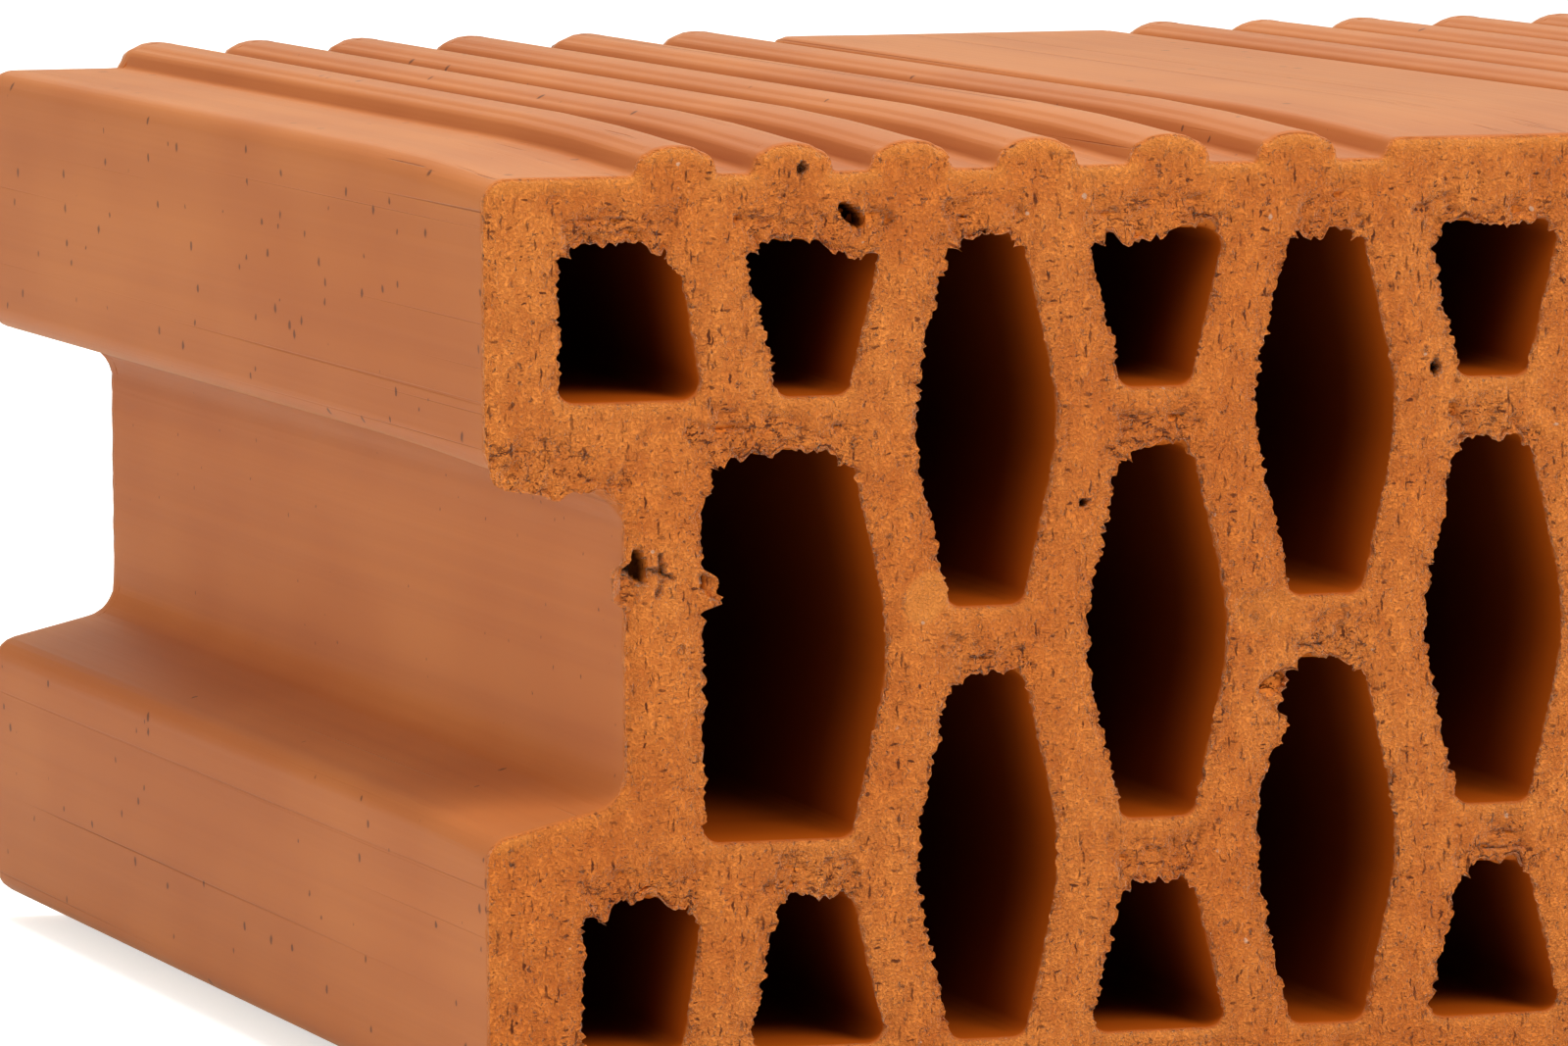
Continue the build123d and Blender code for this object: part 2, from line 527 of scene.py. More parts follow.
@dataclass(frozen=True)
class FiredClay:
    """Fired terracotta brick clay, extruded and cut off by wire while leather-hard.

    The die drew a dense, smooth, pinkish skin with streaks along the block. The wire
    tore an open, orange, matt face: fine grit, dark pits where grains came out, short
    cracks down the face, and here and there a speck of lime. The darkness of the pits
    and cracks is painted shade.
    """

    name: str
    cut_colour: str = "#CF742F"
    cut_light: str = "#D88039"
    cut_dark: str = "#984415"
    # Painted shade in the pits and cracks of the cut face, and the colour of the dark
    # flecks in the skin.
    pit_shade_and_fleck_colour: str = "#431405"
    rim_colour: str = "#D6863D"
    lime_colour: str = "#C79C84"
    skin_colour: str = "#AA5C27"
    skin_light: str = "#B66932"
    skin_dark: str = "#934820"
    # Painted shade down the cells: orange-brown near the mouth, dark brown deeper in.
    cell_mouth_shade_colour: str = "#AC5012"
    deep_cell_shade_colour: str = "#6E2D06"
    # Painted shade for holes too deep for light.
    hole_shade_colour: str = "#160502"
    dust_colour: str = "#FFF2DE"
    cut_roughness: float = 0.9
    skin_roughness: float = 0.62
    gloss: float = 0.2
    sheen: float = 0.3
    sheen_roughness: float = 0.2
    ior: float = 1.5
    grained: bool = True
    with_cut_face: bool = True

    torn_shake: Shake = Shake(2.4, 1.8)
    crack_shake: Shake = Shake(0.9, 1.1)
    cut_clouds: Grain = Grain(22.0, 0.35, 0.65)
    sand: Grain = Grain(0.32, 0.36, 0.66, 2.0, tint=0.42, sunk_mm=0.18)
    patches: Grain = Grain(2.6, 0.4, 0.62, 4.0, (1.0, 1.0, 1.6), 0.30, 0.20)
    drag: Grain = Grain(1.0, 0.42, 0.7, 3.0, (0.5, 1.0, 16.0), 0.20, 0.05)
    # Painted shade: the nips sink a little and are also painted dark; the pits, cracks,
    # crumbs and hairs below are only painted dark, for the shade in hollows that the mesh
    # lacks.
    nips: Grain = Grain(0.6, 0.64, 0.665, 3.0, (1.0, 1.0, 1.4), 0.8, 0.45)
    pits: Specks = Specks(1.3, 0.42, 2.0)
    pits_strewn: Grain = Grain(7.0, 0.36, 0.58)
    cracks_down: Specks = Specks(1.4, 0.62, 2.4, (0.36, 3.0, 1.9))
    cracks_across: Specks = Specks(1.5, 0.55, 3.0, (1.3, 3.0, 0.45))
    cracks_strewn: Grain = Grain(4.5, 0.3, 0.52)
    hairs_down: Specks = Specks(0.85, 0.36, 1.8, (0.5, 3.0, 1.5), 0.55)
    hairs_across: Specks = Specks(0.9, 0.36, 1.8, (1.5, 3.0, 0.5), 0.55)
    crumbled_plates: Grain = Grain(1.0, 0.60, 0.63, 3.0, (4.5, 0.6, 0.42))
    crumbled_grains: Grain = Grain(0.55, 0.595, 0.62, 3.0, (1.2, 1.0, 1.0))
    mark_depths: Grain = Grain(1.6, 0.3, 0.6)
    least_mark: float = 0.5
    marks_tint: float = 0.9
    rim_tint: float = 0.5
    rim_clean: float = 0.9
    lime: Specks = Specks(3.2, 0.42, 3.4, tint=0.8)

    skin_clouds: Grain = Grain(40.0, 0.3, 0.7, 2.0, (1.0, 2.0, 1.0))
    streaks: Grain = Grain(3.4, 0.36, 0.68, 3.0, (1.0, 300.0, 1.0), 0.2, 0.03)
    lines: Grain = Grain(0.9, 0.63, 0.70, 2.0, (1.0, 900.0, 1.0), 0.6, 0.16)
    line_bands: Grain = Grain(18.0, 0.45, 0.65, 1.0, (1.0, 60.0, 1.0))
    fleck_shake: Shake = Shake(0.8, 1.0)
    flecks: Specks = Specks(4.2, 0.85, 4.5, tint=0.75)
    mouth_gain: float = 4.0

    def material(self) -> bpy.types.Material:
        """Makes the material. Its patterns are set out in millimetres."""
        made = bpy.data.materials.new(self.name)
        made.use_nodes = True
        tree = made.node_tree
        tree.nodes.clear()
        place = add_node(tree, "TexCoord").outputs["Object"]
        mm = add_node(
            tree, "VectorMath", {"operation": "SCALE"}, {0: place, "Scale": PER_METRE}
        ).outputs[0]
        colour, height = self.die_skin(tree, mm)
        rough = self.skin_roughness
        if self.with_cut_face:
            cut, cut_height = self.cut_face(tree, mm)
            share = reading(tree, "cut")
            colour = blended(tree, share, colour, cut)
            height = add_node(
                tree, "Mix", {"data_type": "FLOAT"},
                {"Factor": share, "A": height, "B": cut_height},
            ).outputs[0]
            rough = add_node(
                tree, "MapRange", {},
                {"Value": share, "To Min": rough, "To Max": self.cut_roughness},
            ).outputs[0]
        shader = add_node(
            tree, "BsdfPrincipled", {},
            {"Base Color": colour, "Roughness": rough, "IOR": self.ior,
             "Specular IOR Level": self.gloss, "Sheen Weight": self.sheen,
             "Sheen Roughness": self.sheen_roughness,
             "Sheen Tint": linear_colour(self.dust_colour)},
        )
        if self.grained:
            bump = add_node(
                tree, "Bump", {}, {"Strength": 1.0, "Distance": MM, "Height": height}
            ).outputs[0]
            tree.links.new(bump, shader.inputs["Normal"])
        add_node(tree, "OutputMaterial", {}, {"Surface": shader.outputs[0]})
        return made

    def sunk(self, tree: Tree, patterns: tuple[tuple[Grain, Socket], ...]) -> Socket:
        """The surface's height in millimetres under the patterns that sink it."""
        height = None
        for pattern, made in patterns:
            sunk = joined(tree, made, -pattern.sunk_mm)
            height = sunk if height is None else joined(tree, height, sunk, "ADD")
        return height

    def cut_face(self, tree: Tree, mm: Socket) -> tuple[Socket, Socket]:
        """The torn face that the wire leaves: its colour, and its height in mm."""
        crumble = reading(tree, "crumble")
        rim = reading(tree, "rim")
        torn = self.torn_shake.of(tree, mm)
        cracked = self.crack_shake.of(tree, mm)
        grit = (
            (self.sand, self.sand.at(tree, mm)),
            (self.patches, self.patches.at(tree, mm)),
            (self.drag, self.drag.at(tree, torn)),
        )
        nips = self.nips.at(tree, torn)
        clouds = self.cut_clouds.at(tree, mm)
        colour = blended(tree, clouds, self.cut_colour, self.cut_light)
        for pattern, made in grit:
            share = joined(tree, made, pattern.tint)
            colour = blended(tree, share, colour, self.cut_dark)
        share = joined(tree, rim, self.rim_tint)
        colour = blended(tree, share, colour, self.rim_colour)

        # Painted shade: pits, cracks, crumbs and hairs are painted in the pit colour,
        # darker where the marks count as deeper.
        cracks = self.cracks_strewn.at(tree, mm)
        dark = joined(tree, nips, self.nips.tint)
        for pattern, place, strewn in (
            (self.pits, torn, self.pits_strewn.at(tree, mm)),
            (self.cracks_down, cracked, cracks),
            (self.cracks_across, cracked, cracks),
            (self.crumbled_plates, torn, crumble),
            (self.crumbled_grains, torn, crumble),
            (self.hairs_down, cracked, self.hairs_down.tint),
            (self.hairs_across, cracked, self.hairs_across.tint),
        ):
            marks = joined(tree, pattern.at(tree, place), strewn)
            dark = joined(tree, dark, marks, "MAXIMUM")
        depth = joined(tree, self.mark_depths.at(tree, mm), 1.0 - self.least_mark)
        depth = joined(tree, depth, self.least_mark, "ADD")
        clean = joined(tree, 1.0, joined(tree, rim, self.rim_clean), "SUBTRACT")
        dark = joined(tree, joined(tree, dark, depth), clean)
        share = joined(tree, dark, self.marks_tint)
        colour = blended(tree, share, colour, self.pit_shade_and_fleck_colour)
        share = joined(tree, self.lime.at(tree, cracked), self.lime.tint)
        colour = blended(tree, share, colour, self.lime_colour)
        # Painted shade: by the "hollow" share, holes too deep for light are painted
        # near-black.
        hollow = reading(tree, "hollow")
        colour = blended(tree, hollow, colour, self.hole_shade_colour)
        return colour, self.sunk(tree, (*grit, (self.nips, nips)))

    def die_skin(self, tree: Tree, mm: Socket) -> tuple[Socket, Socket]:
        """The smooth skin that the die drew: its colour, and its height in mm."""
        streaks = self.streaks.at(tree, mm)
        lines = joined(tree, self.lines.at(tree, mm), self.line_bands.at(tree, mm))
        clouds = self.skin_clouds.at(tree, mm)
        colour = blended(tree, clouds, self.skin_colour, self.skin_light)
        drawn = ((self.streaks, streaks), (self.lines, lines))
        for pattern, made in drawn:
            share = joined(tree, made, pattern.tint)
            colour = blended(tree, share, colour, self.skin_dark)
        flecks = self.flecks.at(tree, self.fleck_shake.of(tree, mm))
        share = joined(tree, flecks, self.flecks.tint)
        colour = blended(tree, share, colour, self.pit_shade_and_fleck_colour)
        # Painted shade: by the "inner" share, the skin inside the cells turns to the
        # mouth colour and then to dark brown, standing in for light fading down the
        # cells.
        inner = reading(tree, "inner")
        mouth = joined(tree, joined(tree, inner, self.mouth_gain), 1.0, "MINIMUM")
        colour = blended(tree, mouth, colour, self.cell_mouth_shade_colour)
        colour = blended(tree, inner, colour, self.deep_cell_shade_colour)
        return colour, self.sunk(tree, drawn)


@dataclass(frozen=True)
class Scar:
    """One mark in the cut face, placed from the grooved end and the floor.

    A positive depth sinks the face; a positive push moves the nearest rim out into
    the cell, and a negative one bites into the clay. Dark is how much of the mark is
    painted near-black as shade, for a hole too deep for light, and smear a patch that
    the wire pressed smooth.
    """

    x_mm: float
    z_mm: float
    half_x_mm: float
    half_z_mm: float
    turn_deg: float = 0.0
    depth_mm: float = 0.0
    push_mm: float = 0.0
    dark: float = 0.0
    smear: float = 0.0

    def share(self, x: float, z: float, start: float, full: float) -> float:
        """How much of the mark there is at a point of the face.

        Args:
            x: the point's place along the block, in millimetres.
            z: its height.
            start: where the mark starts, in its half sizes from its middle.
            full: where it is in full.

        Returns:
            A number from 0 to 1.
        """
        turn = math.radians(self.turn_deg)
        dx, dz = x - LEFT_END_MM - self.x_mm, z - self.z_mm
        along = (dx * math.cos(turn) + dz * math.sin(turn)) / self.half_x_mm
        aside = (dz * math.cos(turn) - dx * math.sin(turn)) / self.half_z_mm
        out = math.hypot(along, aside)
        if out >= start:
            return 0.0
        return float(smooth_step(start, full, np.array(out)))


FACE_SCARS = (
    Scar(43.4, 105.3, 1.7, 0.75, -38.0, depth_mm=3.4, dark=1.0),
    Scar(70.8, 71.8, 0.55, 0.5, 10.0, depth_mm=2.2, dark=1.0),
    Scar(18.0, 66.2, 0.75, 1.9, 14.0, depth_mm=3.0, dark=0.9),
    Scar(16.6, 64.0, 1.2, 2.4, 8.0, push_mm=1.5),
    Scar(17.0, 64.0, 0.9, 2.4, 8.0, depth_mm=0.7),
    Scar(20.2, 65.5, 1.9, 0.3, -22.0, depth_mm=0.7, dark=0.5),
    Scar(20.5, 66.4, 0.3, 1.2, 10.0, depth_mm=0.6, dark=0.5),
    Scar(20.4, 63.8, 0.3, 1.2, -14.0, depth_mm=0.5, dark=0.3),
    Scar(26.0, 63.2, 2.0, 2.0, push_mm=2.1),
    Scar(24.9, 63.6, 0.36, 1.5, 14.0, depth_mm=1.6, dark=0.9),
    Scar(37.5, 110.6, 0.45, 0.8, depth_mm=1.3, dark=0.7),
    Scar(113.5, 86.0, 0.45, 0.8, depth_mm=1.6, dark=1.0),
    Scar(96.6, 32.9, 1.2, 0.8, push_mm=1.9),
    Scar(94.2, 44.9, 1.1, 1.9, push_mm=1.3),
    Scar(94.0, 50.2, 2.2, 1.2, 30.0, depth_mm=0.7),
    Scar(23.2, 103.0, 4.0, 3.4, push_mm=1.6),
    Scar(9.6, 103.0, 1.8, 1.8, push_mm=0.3),
    Scar(45.0, 103.3, 4.6, 2.2, push_mm=1.8),
    Scar(31.5, 79.6, 3.0, 1.6, push_mm=1.0),
    Scar(45.0, 79.5, 3.6, 2.6, push_mm=1.3),
    Scar(25.2, 79.0, 3.2, 5.0, push_mm=1.4),
    Scar(5.6, 77.0, 4.4, 3.0, push_mm=1.9),
    Scar(15.2, 74.4, 2.4, 2.0, push_mm=-1.2),
    Scar(12.0, 28.8, 2.2, 2.2, push_mm=1.5),
    Scar(24.0, 28.5, 3.0, 3.0, push_mm=1.7),
    Scar(46.0, 29.5, 2.5, 2.4, push_mm=1.4),
    Scar(78.0, 102.6, 2.8, 1.6, push_mm=1.1),
    Scar(86.5, 102.8, 1.6, 1.6, push_mm=-0.8),
    Scar(98.5, 102.6, 1.4, 1.8, push_mm=1.2),
    Scar(112.0, 102.0, 2.0, 2.0, push_mm=1.2),
    Scar(51.9, 61.6, 2.4, 3.2, -35.0, smear=1.0),
    Scar(92.5, 58.5, 3.6, 2.6, depth_mm=0.3, smear=0.5),
    Scar(2.8, 109.6, 2.2, 1.3, smear=0.7),
)
"""The marks that the photograph shows at the grooved corner of the front cut."""


@dataclass(frozen=True)
class Lean:
    """Which way a wall faces: its shares of a ceiling, a bottom and a side of a cell."""

    ceiling: float
    bottom: float
    side: float
    least: float = 0.3
    full: float = 0.75

    @classmethod
    def of(cls, normal: Vector) -> "Lean":
        """The shares for a wall's normal, which points out of the clay."""
        ceiling, bottom = (
            float(smooth_step(cls.least, cls.full, np.array(up)))
            for up in (-normal.z, normal.z)
        )
        return cls(ceiling, bottom, 1.0 - ceiling - bottom)

    def mix(self, ceiling: float, bottom: float, side: float) -> float:
        """Mixes three values by the shares."""
        return ceiling * self.ceiling + bottom * self.bottom + side * self.side


@dataclass
class WireCut:
    """A stretch of one cut end, from its face to a little way down the cells."""

    name: str
    end: CutEnd
    from_x_mm: float
    to_x_mm: float
    voxel_mm: float
    scars: tuple[Scar, ...] = ()
    depth_mm: float = 4.0
    spare_mm: float = 2.5
    shade_deg: float = 48.0
    face_mm: float = 0.02
    seam_mm: float = 0.02
    seam_margin_mm: float = 1.0
    outer_margin_mm: float = 5.0
    outer_lean: float = 0.2
    outer_tear: float = 0.35
    groove_mm: float = 17.0
    groove_low_mm: float = 34.0
    groove_high_mm: float = 81.0

    ceiling_tear_mm: float = 1.1
    toothed_side_mm: float = 0.52
    plain_side_mm: float = 0.44
    slab_mm: float = 5.5
    lump_mm: float = 1.9
    chip_mm: float = 1.4
    crumb_mm: float = 0.6
    grit_mm: float = 0.8
    ceiling_mix: tuple[float, ...] = (1.1, 0.35, 0.35, 0.35, 0.3)
    side_mix: tuple[float, ...] = (0.6, 0.45, 0.45, 0.7, 0.5)
    corner_fill_mm: float = 0.9

    lip_radius_mm: float = 1.3
    side_radius_mm: float = 0.40
    ceiling_radius_mm: float = 0.30
    radius_wander_mm: float = 11.0
    tear_reaches_mm: tuple[float, float, float] = (1.6, 0.8, 0.9)
    tear_fade_mm: float = 1.1
    beside_share: float = 0.45
    beside_fade_mm: float = 1.8
    lip_fade_mm: float = 1.6
    lip_flatness: float = 0.8

    push_range: tuple[float, float] = (1.35, 0.75)
    sink_range: tuple[float, float] = (1.15, 0.9)
    crumble_reach_mm: float = 8.0
    probe_mm: float = 3.0
    probe_reach_mm: float = 12.0
    walls: BVHTree | None = field(default=None, repr=False)

    def build(self, stock: Stock, clay: ClayFinishes) -> Piece:
        """Makes the piece from a copy of the CAD node.

        Args:
            stock: the block that it is a stretch of.
            clay: the materials.

        Returns:
            The finished piece.
        """
        target = merged_copy(stock.cad, self.name + "_target")
        self.trim(target, stock.block, self.spare_mm)
        self.walls = self.wall_tree(target)
        piece = target.copy()
        piece.data = target.data.copy()
        piece.name = piece.data.name = self.name
        bpy.context.scene.collection.objects.link(piece)
        self.refine(piece, target)
        bpy.data.objects.remove(target)
        self.trim(piece, stock.block, 0.0)
        self.weather(piece, stock)
        shade(piece, self.shade_deg)
        DeepShade().finish(piece, stock.block, clay)
        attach(piece, "root")
        return piece

    def cut_y(self, block: Block) -> float:
        """Where the plane of the cut is along Y, in millimetres."""
        return block.low[1] if self.end is CutEnd.FRONT else block.high[1]

    def trim(self, piece: Piece, block: Block, spare: float) -> None:
        """Cuts a piece down to this stretch of the end.

        Args:
            piece: the object to cut.
            block: the block's box.
            spare: how much more than the stretch to leave on each side, in millimetres.
        """
        into = self.end.value
        depth = self.cut_y(block) + into * (self.depth_mm + spare)
        cut_at(piece, Vector((0, depth * MM, 0)), Vector((0, into, 0)))
        if self.to_x_mm < block.high[0]:
            right = (self.to_x_mm + spare) * MM
            cut_at(piece, Vector((right, 0, 0)), Vector((1, 0, 0)))
        if self.from_x_mm > block.low[0]:
            left = (self.from_x_mm - spare) * MM
            cut_at(piece, Vector((left, 0, 0)), Vector((-1, 0, 0)))

    def wall_tree(self, target: Piece) -> BVHTree:
        """A search tree of the faces along the block: cell walls and outside."""
        mesh = target.data
        kept = [tuple(f.vertices) for f in mesh.polygons if abs(f.normal.y) < 0.5]
        return BVHTree.FromPolygons([v.co * PER_METRE for v in mesh.vertices], kept)

    def refine(self, piece: Piece, target: Piece) -> None:
        """Remeshes the piece evenly and lays the new mesh back on the true surface."""
        make_active(piece)
        remesh = piece.modifiers.new("even_mesh", "REMESH")
        remesh.mode = "VOXEL"
        remesh.voxel_size = self.voxel_mm * MM
        bpy.ops.object.modifier_apply(modifier=remesh.name)
        wrap = piece.modifiers.new("true_surface", "SHRINKWRAP")
        wrap.target = target
        wrap.wrap_method = "NEAREST_SURFACEPOINT"
        bpy.ops.object.modifier_apply(modifier=wrap.name)

    def weather(self, piece: Piece, stock: Stock) -> None:
        """Tears, crumbles and rounds the piece as the wire does, and lets it sag.

        Args:
            piece: the refined piece.
            stock: the block that it is a stretch of.
        """
        block, droop = stock.block, stock.droop
        points = points_mm(piece)
        into = float(self.end.value)
        cut_y = self.cut_y(block)
        # "hollow" is the share of painted near-black shade in deep holes.
        names = ("cut", "crumble", "rim", "hollow")
        marks = np.zeros((len(points), len(names)))
        sags = droop.fall(points[:, 2], points[:, 1] - block.low[1])
        for index, place in enumerate(points):
            start = Vector(place)
            depth = (start.y - cut_y) * into
            if depth > self.depth_mm - NEARLY_MM:
                continue
            moved, marks[index] = self.weather_point(
                start, max(depth, 0.0), block, sags[index]
            )
            if self.on_seam(start.x, block):
                moved.x = start.x
            points[index] = moved
        # "inner" is the share of painted shade on the walls inside the cells.
        set_attribute(piece, "inner", DeepShade().share(points, block))
        stock.ribs.round_off(points, block)
        droop.apply(points, block.low[1])
        set_points_mm(piece, points)
        for name, values in zip(names, marks.T):
            set_attribute(piece, name, values)

    def on_seam(self, x: float, block: Block) -> bool:
        """Whether x is on a plane that this stretch shares with its neighbour."""
        margin = self.seam_margin_mm
        to_next = self.to_x_mm < block.high[0] - margin
        to_last = self.from_x_mm > block.low[0] + margin
        return (to_next and abs(x - self.to_x_mm) < self.seam_mm) or (
            to_last and abs(x - self.from_x_mm) < self.seam_mm
        )

    def weather_point(
        self, start: Vector, depth: float, block: Block, sag: float
    ) -> tuple[Vector, tuple[float, float, float, float]]:
        """Moves one point of the true surface to where the torn surface is.

        Args:
            start: the point, in millimetres.
            depth: how far behind the cut it is.
            block: the block's box.
            sag: how far the point will droop, since the scars are placed as seen.

        Returns:
            The new point, and its shares of cut, crumble, rim and hollow (painted hole
            shade).
        """
        found, normal, _, away = self.walls.find_nearest(start)
        face = depth < self.face_mm
        if not face:
            away = 0.0
        lean = Lean.of(normal)
        outer = self.is_outer(found, normal, block)
        inward = Vector((0.0, float(self.end.value), 0.0))
        moved = self.rounded(start, found, normal, lean, away, depth)
        push = self.tear(found, normal, start, lean, outer)
        if outer:
            push = min(push, 0.0)
        sink = torn = smeared = hollow = 0.0
        for scar in self.scars:
            if scar.push_mm:
                push += scar.push_mm * scar.share(
                    found.x, found.z - sag, *self.push_range
                )
            if face and not (scar.push_mm and not scar.depth_mm):
                share = scar.share(start.x, start.z - sag, *self.sink_range)
                sink += scar.depth_mm * share
                torn = max(torn, share * (1.0 - scar.dark) * (1.0 - scar.smear))
                smeared = max(smeared, share * scar.smear)
                hollow = max(hollow, scar.dark * share)
        reach = lean.mix(*self.tear_reaches_mm)
        fade = math.exp(-((depth / reach) ** 2) - (away / self.tear_fade_mm) ** 2)
        moved += normal * (push * fade)
        if not face:
            ragged = 0.9 + 0.7 * noise.noise(start / 1.7)
            edge = ragged * (1.0 + 1.2 * lean.ceiling - 0.6 * lean.bottom)
            cut = float(smooth_step(edge + 0.5, edge * 0.4, np.array(depth)))
            return moved, (cut, 0.0, 0.0, 0.0)
        beside = self.beside_share * (lean.side + lean.ceiling)
        beside *= math.exp(-((away / self.beside_fade_mm) ** 2))
        crumbled = max(self.crumbled(start), torn, 0.0 if outer else beside)
        crumbled *= 1.0 - smeared
        lip = lean.bottom * math.exp(-((away / self.lip_fade_mm) ** 2))
        relief = self.relief(start, crumbled) * (1.0 - self.lip_flatness * lip)
        moved += inward * (sink + relief)
        rim = max(lip if outer else 0.5 * lip, smeared)
        return moved, (1.0, crumbled, rim, hollow)

    def rounded(
        self,
        start: Vector,
        found: Vector,
        normal: Vector,
        lean: Lean,
        away: float,
        depth: float,
    ) -> Vector:
        """Rounds the rim: most at the bottom of a cell, where the wire rolled it in.

        Args:
            start: the point, in millimetres.
            found: the nearest point of the wall.
            normal: the wall's normal, out of the clay.
            lean: which way the wall faces.
            away: the point's distance from the wall.
            depth: how far behind the cut it is.

        Returns:
            The point on the rounded surface.
        """
        into = float(self.end.value)
        radius = lean.mix(
            self.ceiling_radius_mm, self.lip_radius_mm, self.side_radius_mm
        )
        flow = Vector((found.x, start.y * 0.6, found.z))
        wander = noise.noise(flow / self.radius_wander_mm + Vector((3.1, 0, 7.7)))
        radius *= 1.0 + 0.5 * wander
        a, b = max(radius - away, 0.0), max(radius - depth, 0.0)
        reach = math.hypot(a, b)
        moved = start.copy()
        if a > 0.0 and b > 0.0 and reach > radius:
            moved += normal * (radius * a / reach - a)
            moved += Vector((0.0, into, 0.0)) * (b - radius * b / reach)
        return moved

    def is_outer(self, found: Vector, normal: Vector, block: Block) -> bool:
        """Whether a wall point is on the outside of the block, not in a cell."""
        margin, lean = self.outer_margin_mm, self.outer_lean
        return (
            (normal.z > lean and found.z > block.high[2] - margin)
            or (normal.z < -lean and found.z < block.low[2] + margin)
            or (normal.x < -lean and found.x < block.low[0] + margin)
            or (normal.x > lean and found.x > block.high[0] - margin)
        )

    def tear(
        self, found: Vector, normal: Vector, start: Vector, lean: Lean, outer: bool
    ) -> float:
        """How far the rim stands out into the cell here, or is bitten back.

        Args:
            found: the nearest point of the wall.
            normal: the wall's normal, out of the clay.
            start: the point itself.
            lean: which way the wall faces.
            outer: whether the wall is the outside of the block.

        Returns:
            The move along the normal, in millimetres.
        """
        spot = Vector((found.x, start.y * 0.5, found.z))
        levels = (
            noise.noise(spot / self.slab_mm + Vector((11.0, 0, 0))),
            noise.noise(spot / self.lump_mm + Vector((0, 5.0, 2.0))),
            self.chunk(spot, self.chip_mm),
            self.chunk(spot, self.crumb_mm),
            noise.noise(spot / self.grit_mm),
        )
        ceiling_level, side_level = (
            sum(share * level for share, level in zip(mix, levels))
            for mix in (self.ceiling_mix, self.side_mix)
        )
        amount = self.ceiling_tear_mm * lean.ceiling * ceiling_level
        if not outer:
            corner = max(0.0, -4.0 * normal.z * abs(normal.z) * (1.0 - normal.z**2))
            amount += self.corner_fill_mm * corner**2
        toothed = self.toothed_side_mm if normal.x > 0 else self.plain_side_mm
        amount += toothed * lean.side * side_level
        in_groove = (
            found.x < LEFT_END_MM + self.groove_mm
            and self.groove_low_mm < found.z < self.groove_high_mm
        )
        return amount * (self.outer_tear if outer or in_groove else 1.0)

    def chunk(self, spot: Vector, size_mm: float) -> float:
        """A level from -1 to 1, the same all over the lump of clay at that spot."""
        middle = noise.voronoi(spot / size_mm)[1][0]
        return noise.cell(middle * 37.3)

    def crumbled(self, start: Vector) -> float:
        """How crumbled the face is: most just over a ceiling of a cell."""
        aside = 3.0 * noise.noise(start / 2.6 + Vector((4.0, 0, 1.0)))
        into = float(self.end.value)
        probe = start + Vector((aside, into * self.probe_mm, 0.0))
        hit, normal, _, height = self.walls.ray_cast(
            probe, Vector((0, 0, -1)), self.probe_reach_mm
        )
        if hit is None or normal.z > -0.3:
            return 0.0
        edge = self.crumble_reach_mm * (0.8 + 0.9 * noise.noise(start / 6.0))
        return float(smooth_step(edge, edge * 0.35, np.array(height)))

    def relief(self, start: Vector, crumbled: float) -> float:
        """How deep the face lies here behind the plane of the cut.

        Args:
            start: the point on the face, in millimetres.
            crumbled: how crumbled the face is there.

        Returns:
            The depth, in millimetres.
        """
        flat = Vector((start.x, 0.0, start.z))
        wave = 0.5 + 0.5 * noise.noise(flat / 17.0)
        fine = 0.5 + 0.5 * noise.noise(flat / 1.3)
        plates = Vector((start.x * 0.45, 0.0, start.z))
        crack = max(0.0, noise.noise(plates / 0.9 + Vector((0, 9.0, 0))) - 0.10)
        chips = 0.5 + 0.5 * self.chunk(plates, 1.7)
        crumbs = 0.5 + 0.5 * self.chunk(flat, 0.9)
        torn = 1.1 * crack + 0.45 * chips + 0.30 * crumbs
        return 0.12 * wave + 0.07 * fine + 0.10 * crumbs + crumbled * torn


@dataclass
class ExtrudedBody:
    """The block between its two cut ends, with the skin that the die drew."""

    name: str = "clay_body"
    end_depth_mm: float = 4.0
    front_rings_mm: tuple[float, ...] = (10.0, 18.0, 30.0, 52.0)
    back_rings_mm: tuple[float, ...] = (16.0,)
    shade_deg: float = 30.0

    def build(self, stock: Stock, clay: ClayFinishes) -> Piece:
        """Makes the piece from a copy of the CAD node.

        Args:
            stock: the block that it is the middle of.
            clay: the materials.

        Returns:
            The finished piece.
        """
        block = stock.block
        piece = merged_copy(stock.cad, self.name)
        for place in stock.ribs.centres_mm:
            cut_at(piece, Vector((place * MM, 0, 0)), Vector((1, 0, 0)), clear=False)
        for into, cut_y, rings in (
            (1, block.low[1], self.front_rings_mm),
            (-1, block.high[1], self.back_rings_mm),
        ):
            way = Vector((0, -into, 0))
            edge = (cut_y + into * self.end_depth_mm) * MM
            cut_at(piece, Vector((0, edge, 0)), way)
            for depth in rings:
                ring = (cut_y + into * depth) * MM
                cut_at(piece, Vector((0, ring, 0)), way, clear=False)
        points = points_mm(piece)
        # "inner" is the share of painted shade on the walls inside the cells.
        set_attribute(piece, "inner", DeepShade().share(points, block))
        stock.ribs.round_off(points, block)
        stock.droop.apply(points, block.low[1])
        set_points_mm(piece, points)
        shade(piece, self.shade_deg)
        DeepShade().finish(piece, block, clay)
        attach(piece, "root")
        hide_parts(CAD_NODE)
        return piece


